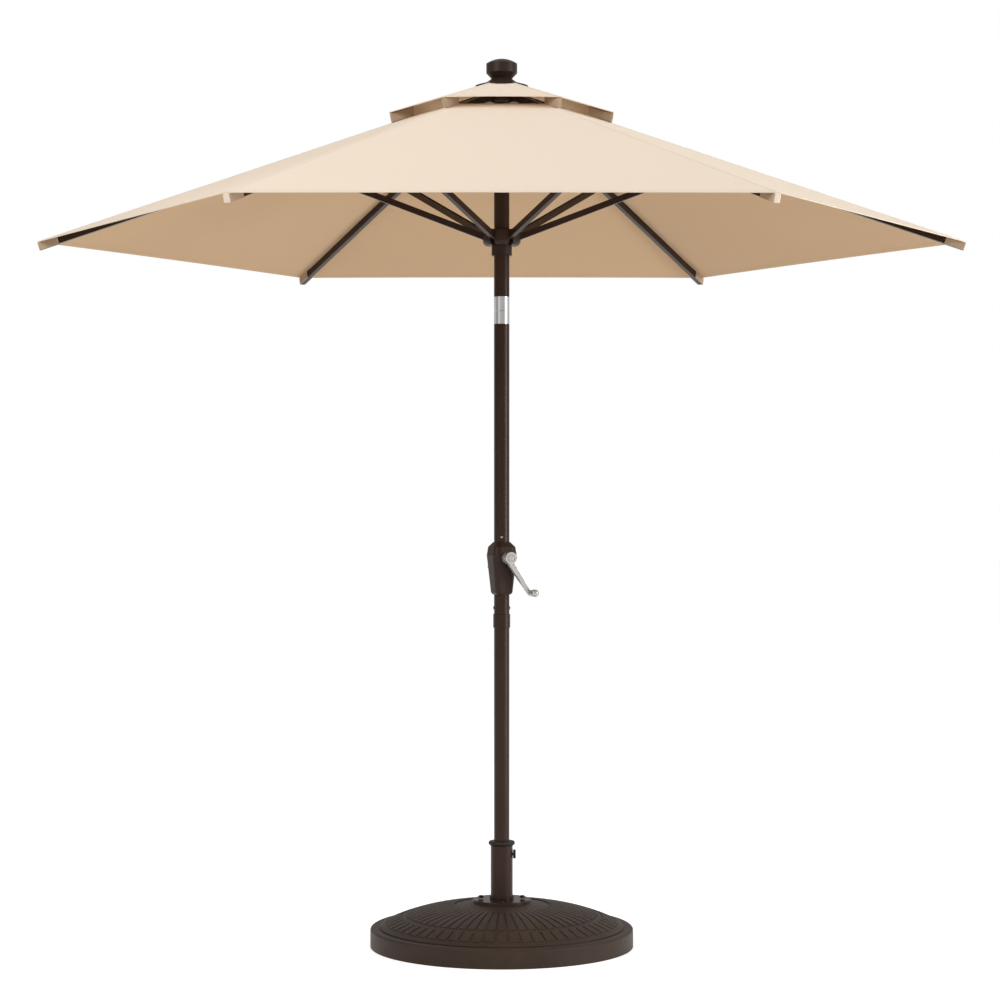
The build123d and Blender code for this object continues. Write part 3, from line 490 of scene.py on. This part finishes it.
def grained_material(name, colour, look):
    """Hard finish whose colour and roughness drift with grain, as paint, plastic or metal does."""
    material, tree, shader = new_material(name)
    grain = grain_node(tree, look.coarse, look.fine, look.depth)
    dark, light = toned(colour, 1 - look.spread), toned(colour, 1 + look.spread)
    tree.links.new(mixed(tree, grain.outputs["Mask"], dark, light), shader.inputs["Base Color"])
    tree.links.new(ranged(tree, grain.outputs["Value"], *look.roughness), shader.inputs["Roughness"])
    tree.links.new(grain.outputs["Normal"], shader.inputs["Normal"])
    shader.inputs["Metallic"].default_value = look.metallic
    shader.inputs["Specular IOR Level"].default_value = FINISH_SPECULAR
    return material


def bronze_paint(colour):
    """Dark paint of the tubes, smooth and with a faint metal sheen."""
    grain = {"coarse": 9.0, "fine": 900.0, "depth": 0.0002}
    look = Look(spread=0.25, metallic=0.35, roughness=(0.26, 0.36), **grain)
    return grained_material("bronze_paint", colour, look)


def bronze_plastic(colour):
    """Dark moulded plastic of housing, hub, runner and finial."""
    grain = {"coarse": 14.0, "fine": 700.0, "depth": 0.0003}
    look = Look(spread=0.2, metallic=0.1, roughness=(0.34, 0.46), **grain)
    return grained_material("bronze_plastic", colour, look)


def base_resin(colour):
    """Cast resin of the base, with a coarse grain."""
    grain = {"coarse": 11.0, "fine": 260.0, "depth": 0.0006}
    look = Look(spread=0.3, metallic=0.0, roughness=(0.42, 0.6), **grain)
    return grained_material("base_resin", colour, look)


def black_plastic(colour):
    """Dull plastic of bush, knob and button."""
    grain = {"coarse": 20.0, "fine": 600.0, "depth": 0.0003}
    look = Look(spread=0.25, metallic=0.0, roughness=(0.35, 0.5), **grain)
    return grained_material("black_plastic", colour, look)


def chrome(colour):
    """Bright plating of the tilt joint, without relief."""
    grain = {"coarse": 30.0, "fine": 300.0, "depth": 0.0}
    look = Look(spread=0.05, metallic=1.0, roughness=(0.05, 0.11), **grain)
    return grained_material("chrome", colour, look)


def satin_silver(colour):
    """Cast metal of the crank and rib brackets, under a silver paint."""
    grain = {"coarse": 40.0, "fine": 800.0, "depth": 0.00003}
    look = Look(spread=0.1, metallic=0.6, roughness=(0.24, 0.34), **grain)
    return grained_material("satin_silver", colour, look)


def plain_steel(colour):
    """Bare steel of bolts, pins and rivets."""
    grain = {"coarse": 40.0, "fine": 700.0, "depth": 0.0002}
    look = Look(spread=0.15, metallic=1.0, roughness=(0.28, 0.42), **grain)
    return grained_material("plain_steel", colour, look)


def cloth_material(name, colour, hem, seam, drift):
    """Canvas whose weave, hem and stitches show in colour and relief."""
    material, tree, shader = new_material(name)
    canvas = canvas_node(tree, hem, seam)
    grain = grain_node(tree, coarse=3.0)
    faded = mixed(tree, grain.outputs["Mask"], toned(colour, 1 - drift), toned(colour))
    woven = mixed(tree, canvas.outputs["Weave"], faded, toned(colour))
    edged = mixed(tree, canvas.outputs["Edge"], woven, toned(colour, EDGE_TONE))
    sewn = mixed(tree, canvas.outputs["Stitch"], edged, toned(colour, STITCH_TONE))
    tree.links.new(sewn, shader.inputs["Base Color"])
    tree.links.new(canvas.outputs["Normal"], shader.inputs["Normal"])
    shader.inputs["Roughness"].default_value = 0.9
    shader.inputs["Specular IOR Level"].default_value = 0.15
    shader.inputs["Sheen Weight"].default_value = 0.1
    return material


def cloth_materials(settings, sides):
    """Materials of the cloth's outer side and of another side, under or pocket, both with painted shade,
    made once.
    """
    found = []
    for side, drift in (("top", TOP_DRIFT), (sides, INNER_DRIFT)):
        name = f"cloth_{side}"
        made = bpy.data.materials.get(name)
        colour = getattr(settings, side)
        found.append(made or cloth_material(name, colour, settings.hem, settings.seam, drift))
    return found


def seen_share(tree, mirrored):
    """Share of a backdrop's own white by kind of light.

    It is 1 for what the camera sees, mirrored for what metal and glass show, and 0 for other light.
    """
    ray = add_node(tree, "ShaderNodeLightPath").outputs
    shown = worked_out(tree, "MAXIMUM", ray["Is Glossy Ray"], ray["Is Transmission Ray"])
    return worked_out(tree, "MAXIMUM", worked_out(tree, "MULTIPLY", shown, mirrored), ray["Is Camera Ray"])


def floor_material(colour):
    """Pale floor that glows a little, so that it meets the white surroundings and keeps a soft shadow."""
    material, tree, shader = new_material("pale_floor")
    grain = grain_node(tree, coarse=0.8)
    tone = mixed(tree, grain.outputs["Mask"], toned(colour, 1 - FLOOR_DRIFT), toned(colour))
    tree.links.new(tone, shader.inputs["Base Color"])
    tree.links.new(tone, shader.inputs["Emission Color"])
    glow = worked_out(tree, "MULTIPLY", seen_share(tree, 1.0), FLOOR_GLOW)
    tree.links.new(glow, shader.inputs["Emission Strength"])
    shader.inputs["Roughness"].default_value = 1.0
    shader.inputs["Specular IOR Level"].default_value = 0.0
    return material


def studio_bands(tree, sky):
    """Brightness of the surroundings by compass direction: pale walls with darker screens between them."""
    where = add_node(tree, "ShaderNodeTexCoord")
    split = add_node(tree, "ShaderNodeSeparateXYZ")
    tree.links.new(where.outputs["Object"], split.inputs[0])
    forward = worked_out(tree, "MULTIPLY", split.outputs["Y"], -1.0)
    turn = worked_out(tree, "ARCTAN2", split.outputs["X"], forward)
    share = add_node(tree, "ShaderNodeMapRange", (("From Min", -pi), ("From Max", pi)))
    ramp = add_node(tree, "ShaderNodeValToRGB")
    tree.links.new(turn, share.inputs["Value"])
    tree.links.new(share.outputs["Result"], ramp.inputs["Fac"])
    stops = ramp.color_ramp.elements
    for stop in stops:
        stop.color = (WALL_TONE, WALL_TONE, WALL_TONE, 1)
    for place, tone in SCREENS:
        stops.new(place).color = (tone, tone, tone, 1)
    return worked_out(tree, "MULTIPLY", ramp.outputs["Color"], WALL_STRENGTH * sky)


def number_property(name, description, default, unit="NONE"):
    """Number property with its unit."""
    return bpy.props.FloatProperty(
        name=name, description=description, default=default, unit=unit, precision=4
    )


def length_property(name, description, default):
    """Length property in metres."""
    return number_property(name, description, default, "LENGTH")


def power_property(name, description, default):
    """Power property in watts."""
    return number_property(name, description, default, "POWER")


def colour_property(name, description, default):
    """Linear colour property of a finish."""
    return bpy.props.FloatVectorProperty(
        name=name, description=description, default=default, size=3, subtype="COLOR", min=0, max=1
    )


class UmbrellaCloth(bpy.types.PropertyGroup):
    """Sizes and colours of the cloth."""

    apex: length_property("Apex", "Height where the hips of the main cloth would meet", 2.112)
    slope: number_property("Slope", "Fall of the hips per length", 0.3344)
    opening: length_property("Opening", "Corner radius of the opening under the vent", 0.216)
    radius: length_property("Radius", "Corner radius of the main cloth", 1.143)
    sag: length_property("Sag", "Hollow of a panel between two ribs", 0.003)
    bow: number_property("Bow", "Inward bow of the hem as a share of the radius", 0.003)
    vent_apex: length_property("Vent apex", "Height where the vent's hips meet", 2.130)
    vent_slope: number_property("Vent slope", "Fall of the vent's hips per length", 0.295)
    vent_hole: length_property("Vent hole", "Corner radius of the hole for the finial", 0.042)
    vent_radius: length_property("Vent radius", "Corner radius of the vent", 0.278)
    vent_sag: length_property("Vent sag", "Hollow of a vent panel between two ribs", 0.002)
    vent_bow: number_property("Vent bow", "Inward bow of the vent's hem as a share of its radius", 0.045)
    thickness: length_property("Thickness", "Thickness of the cloth", 0.0014)
    fold: length_property("Fold", "Extra thickness of the hem and of the seams", 0.0006)
    hem: length_property("Hem", "Width of the hem fold", 0.020)
    seam: length_property("Seam", "Half width of the seam over a rib", 0.007)
    lift: length_property("Lift", "Room between the rib and the gores for the tape", 0.0008)
    gap: length_property("Gap", "Room left at the seams of the furled cloth", 0.0018)
    tape: length_property("Tape", "Half width of the tape over a rib beside the gores' slide", 0.006)
    tape_end: length_property("Tape end", "Distance from the tape's end to the cloth's corner", 0.062)
    top: colour_property("Top", "Colour of the outer side", (0.87, 0.735, 0.592))
    # Painted light and shade: the inner side's darker, warmer tan stands in for the shade under the cloth
    # and the light that comes through it
    under: colour_property("Under", "Colour of the inner side", (0.76, 0.52, 0.31))
    # Painted shade: the pockets' sides take this darker tan in place of the shade they lie in
    pocket: colour_property("Pocket", "Colour of the pockets' sides", (0.46, 0.34, 0.235))


class UmbrellaFinish(bpy.types.PropertyGroup):
    """Colours of the frame and base."""

    bronze: colour_property("Bronze", "Paint of the tubes", (0.039, 0.022, 0.016))
    plastic: colour_property("Plastic", "Housing, hub, runner and finial", (0.034, 0.0195, 0.0133))
    resin: colour_property("Resin", "Base plate", (0.044, 0.0285, 0.0205))
    black: colour_property("Black", "Bush, knob and button", (0.028, 0.021, 0.017))
    chrome: colour_property("Chrome", "Tilt joint", (0.78, 0.77, 0.76))
    silver: colour_property("Silver", "Crank and rib brackets", (0.44, 0.43, 0.415))
    steel: colour_property("Steel", "Bolts, pins and rivets", (0.32, 0.31, 0.30))


class UmbrellaStage(bpy.types.PropertyGroup):
    """Camera, light and floor."""

    distance: length_property("Distance", "Camera to the pole", 6.152)
    aside: length_property("Aside", "Camera beside the pole", -0.0042)
    eye: length_property("Eye", "Height of the camera", 1.095)
    lens: number_property("Lens", "Focal length in millimetres", 90.0, "CAMERA")
    key: power_property("Key", "Power of the key light", 165.0)
    fill: power_property("Fill", "Power of the side light", 110.0)
    overhead: power_property("Overhead", "Power of the overhead light", 30.0)
    sky: number_property("Sky", "Light of the surroundings", 0.5)
    floor: colour_property("Floor", "Colour of the floor", (0.86, 0.86, 0.86))


def place_cloth(name, number, points, cloth, settings, thickness, sides, raised=0.0, painted_shade=False):
    """Turns a cloth to its rib and lets it ride there."""
    angle = rib_turn(number)
    normal = turned(grid_normal(points), angle)
    mesh = cloth_mesh(name, turned(points, angle), normal, cloth, thickness, raised, painted_shade)
    for material in cloth_materials(settings, sides):
        mesh.materials.append(material)
    piece = add_object(name, mesh)
    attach(piece, f"rib_{number}")
    return piece


def place_half(name, number, side, tier, settings, cad_node):
    """Half a gore on a rib, stretched cloth.

    Returns how far the top of its rib edge slides in the fold.
    """
    lifted = tier._replace(apex=tier.apex + settings.lift)
    rows, columns = tier.grid
    points, cloth = gore(lifted, columns_out(columns, side), rows_down(rows))
    raised = sewn_height(cloth, settings.hem, settings.seam, settings.fold)
    piece = place_cloth(name, number, points, cloth, settings, settings.thickness, "under", raised)
    if cad_node:
        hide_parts(cad_node)
    rib_edge = points[:, edge_columns(side)[0]]
    axis, corner, keep = furl(points, side, settings.gap)
    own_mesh(piece)
    return (1 - keep) * float(np.abs((rib_edge[0] - corner) @ axis))


def place_tape(name, number, tier, settings, slide):
    """Tape under the joint of two halves, stretched cloth that covers the rib where they slide apart.

    Its half width falls from tape + slide at the top to tape at its end. Its sides droop by TAPE_DROOP y^2.
    """
    v = rows_down(tier.grid[0])
    end = tier.outer - settings.tape_end
    half_width = settings.tape + slide * (1 - v)
    reach = half_width / ((tier.inner + v * (end - tier.inner)) * np.sqrt(3) / 4)
    u = np.linspace(-1, 1, TAPE_COLUMNS)[None, :] * reach
    under = tier.apex - settings.thickness / 2
    strip = tier._replace(apex=under, inner=tier.inner + TAPE_START, outer=end, bow=0)
    points, cloth = gore(strip, u, v)
    points[..., 2] -= TAPE_DROOP * points[..., 1] ** 2
    tape = place_cloth(name, number, points, cloth, settings, settings.thickness / 2, "under")


def place_tier(name, tier, settings, cad_node=None):
    """One tier of the canopy: on each rib two halves of a gore that slide alike, and a tape under them."""
    for number in range(1, RIBS + 1):
        node = f"{cad_node}_{number}" if cad_node else None
        for side, label in SIDES:
            slide = place_half(f"{name}_gore_{number}_{label}", number, side, tier, settings, node)
        place_tape(f"{name}_tape_{number}", number, tier, settings, slide)


def place_pockets(name, pocket, points, cloth, settings):
    """A pocket on each rib, cloth over the rib.

    Its outside keeps the top colour up to the pocket's pale share of its half width, and its sides carry
    painted shade in the darker pocket colour.
    """
    across = np.abs(cloth[:-1, :-1, 0] + cloth[1:, 1:, 0]) / 2
    # Quads past the pale share take the pocket colour as painted shade
    painted_shade = across >= pocket.pale * cloth[..., 0].max()
    for number in range(1, RIBS + 1):
        piece = place_cloth(
            f"{name}_{number}", number, points, cloth, settings, settings.thickness, "pocket", painted_shade=painted_shade
        )


def place_floor(colour):
    """Square floor just below the base."""
    mesh = bpy.data.meshes.new("floor")
    square = ((-1, -1), (1, -1), (1, 1), (-1, 1))
    corners = [(x * FLOOR_REACH, y * FLOOR_REACH, -FLOOR_DEPTH) for x, y in square]
    mesh.from_pydata(corners, [], [(0, 1, 2, 3)])
    mesh.materials.append(floor_material(colour))
    add_object("floor", mesh)


def white_surroundings(sky):
    """World that the camera sees as white, and that lights the object by its walls and screens."""
    world = bpy.data.worlds.new("white_surroundings")
    world.use_nodes = True
    tree = world.node_tree
    backdrop = tree.nodes["Background"]
    backdrop.inputs["Color"].default_value = (1, 1, 1, 1)
    glow = add_node(tree, "ShaderNodeMix", ((3, 1.0),), data_type="FLOAT")
    tree.links.new(seen_share(tree, MIRRORED_WHITE), glow.inputs[0])
    tree.links.new(studio_bands(tree, sky), glow.inputs[2])
    tree.links.new(glow.outputs[0], backdrop.inputs["Strength"])
    return world


def add_light(name, power, place, aim, size, tint):
    """Rectangular area light that faces the pole at the height aim."""
    data = bpy.data.lights.new(name, "AREA")
    data.shape = "RECTANGLE"
    data.size, data.size_y = size
    data.energy = power
    data.color = tint
    light = add_object(name, data)
    light.location = place
    light.rotation_euler = (Vector((0, 0, aim)) - Vector(place)).to_track_quat("-Z", "Y").to_euler()


def add_camera(settings):
    """Level camera in front of the pole."""
    data = bpy.data.cameras.new("camera")
    data.lens = settings.lens
    camera = add_object("camera", data)
    camera.location = (settings.aside, -settings.distance, settings.eye)
    camera.rotation_euler = (radians(90), 0, 0)
    return camera


class UMBRELLA_OT_canopy(bpy.types.Operator):
    """Main cloth: on each rib two halves of a gore and a tape."""

    bl_idname = "umbrella.canopy"
    bl_label = "Build canopy"

    def execute(self, context):
        s = context.scene.umbrella_cloth
        tier = Tier(
            apex=s.apex,
            slope=s.slope,
            inner=s.opening,
            outer=s.radius,
            bow=s.bow,
            sag=s.sag,
            grid=CANOPY_GRID,
        )
        place_tier("canopy", tier, s, cad_node="canopy")
        return {"FINISHED"}


class UMBRELLA_OT_vent(bpy.types.Operator):
    """Vent tier above the opening: on each rib two halves of a small gore and a tape."""

    bl_idname = "umbrella.vent"
    bl_label = "Build vent"

    def execute(self, context):
        s = context.scene.umbrella_cloth
        tier = Tier(
            apex=s.vent_apex,
            slope=s.vent_slope,
            inner=s.vent_hole,
            outer=s.vent_radius,
            bow=s.vent_bow,
            sag=s.vent_sag,
            grid=VENT_GRID,
        )
        place_tier("vent", tier, s)
        return {"FINISHED"}


class UMBRELLA_OT_pockets(bpy.types.Operator):
    """Tip pockets that hold the cloth on the rib ends."""

    bl_idname = "umbrella.pockets"
    bl_label = "Build tip pockets"

    def execute(self, context):
        s = context.scene.umbrella_cloth
        pitch = np.arctan(s.slope)
        along = (cos(pitch), 0, -sin(pitch))
        upward = (sin(pitch), 0, cos(pitch))
        rib_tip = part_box("rib_1")[1][0]
        end = (rib_tip - sin(pitch) * RIB_HALF_HEIGHT - HUB_PIVOT[0]) / cos(pitch)
        points, cloth = hood(TIP_POCKET, end, along, upward)
        place_pockets("tip_pocket", TIP_POCKET, points + HUB_PIVOT, cloth, s)
        return {"FINISHED"}


class UMBRELLA_OT_vent_pockets(bpy.types.Operator):
    """Pockets that tie the vent's corners to the main cloth."""

    bl_idname = "umbrella.vent_pockets"
    bl_label = "Build vent pockets"

    def execute(self, context):
        s = context.scene.umbrella_cloth
        pitch = np.arctan(s.vent_slope)
        along = (cos(pitch), 0, -sin(pitch))
        end = (s.vent_radius - VENT_POCKET_INSET) / cos(pitch)
        points, cloth = hood(VENT_POCKET, end, along, (0, 0, 1))
        place_pockets("vent_pocket", VENT_POCKET, points + np.array([0, 0, s.vent_apex]), cloth, s)
        return {"FINISHED"}


class UMBRELLA_OT_finishes(bpy.types.Operator):
    """Paint, plastic, resin, chrome and metal on the frame and base."""

    bl_idname = "umbrella.finishes"
    bl_label = "Finish the frame"

    def execute(self, context):
        s = context.scene.umbrella_finish
        finishes = {
            "bronze": bronze_paint(s.bronze),
            "bronze_plastic": bronze_plastic(s.plastic),
            "resin": base_resin(s.resin),
            "black_plastic": black_plastic(s.black),
            "chrome": chrome(s.chrome),
            "silver": satin_silver(s.silver),
            "steel": plain_steel(s.steel),
        }
        for part in frame["record"]["subparts"]:
            if part["material_slot"] == "canopy_cloth":
                continue
            mesh = frame["nodes"][part["node"]].data
            mesh.materials.clear()
            mesh.materials.append(finishes[part["material_slot"]])
        return {"FINISHED"}


class UMBRELLA_OT_stage(bpy.types.Operator):
    """Floor, white surroundings, soft lights and the camera."""

    bl_idname = "umbrella.stage"
    bl_label = "Set the stage"

    def execute(self, context):
        scene = context.scene
        s = scene.umbrella_stage
        place_floor(s.floor)
        scene.world = white_surroundings(s.sky)
        add_light("key", s.key, place=(-3.6, -4.2, 4.4), aim=1.5, size=(2.6, 2.6), tint=(1, 0.98, 0.95))
        add_light("side", s.fill, place=(4.7, -1.6, 1.6), aim=1.1, size=(1.4, 3.0), tint=(1, 0.99, 0.97))
        add_light("overhead", s.overhead, place=(0.4, -0.8, 5.2), aim=2.0, size=(3.4, 3.4), tint=(1, 1, 1))
        scene.camera = add_camera(s)
        scene.view_settings.view_transform = "Standard"
        return {"FINISHED"}


class UMBRELLA_PT_panel(bpy.types.Panel):
    """Sidebar panel with the sizes, colours and steps."""

    bl_idname = "UMBRELLA_PT_panel"
    bl_label = "Patio umbrella"
    bl_space_type = "VIEW_3D"
    bl_region_type = "UI"
    bl_category = "Umbrella"

    def draw(self, context):
        for name in SETTINGS:
            settings = getattr(context.scene, name)
            box = self.layout.box()
            for key in settings.__annotations__:
                box.prop(settings, key)
        for operator in OPERATORS:
            self.layout.operator(operator.bl_idname)


SETTINGS = {
    "umbrella_cloth": UmbrellaCloth,
    "umbrella_finish": UmbrellaFinish,
    "umbrella_stage": UmbrellaStage,
}
OPERATORS = (
    UMBRELLA_OT_canopy,
    UMBRELLA_OT_vent,
    UMBRELLA_OT_pockets,
    UMBRELLA_OT_vent_pockets,
    UMBRELLA_OT_finishes,
    UMBRELLA_OT_stage,
)
CLASSES = (*SETTINGS.values(), *OPERATORS, UMBRELLA_PT_panel)


def register():
    """Registers the classes and hangs the settings on the scene."""
    for cls in CLASSES:
        bpy.utils.register_class(cls)
    for name, group in SETTINGS.items():
        setattr(bpy.types.Scene, name, bpy.props.PointerProperty(type=group))


def unregister():
    """Takes the settings and classes away again."""
    for name in SETTINGS:
        delattr(bpy.types.Scene, name)
    for cls in reversed(CLASSES):
        bpy.utils.unregister_class(cls)


def main():
    """Builds every piece in order."""
    register()
    bpy.ops.umbrella.canopy()
    bpy.ops.umbrella.vent()
    bpy.ops.umbrella.pockets()
    bpy.ops.umbrella.vent_pockets()
    bpy.ops.umbrella.finishes()
    bpy.ops.umbrella.stage()


if __name__ == "__main__":
    main()
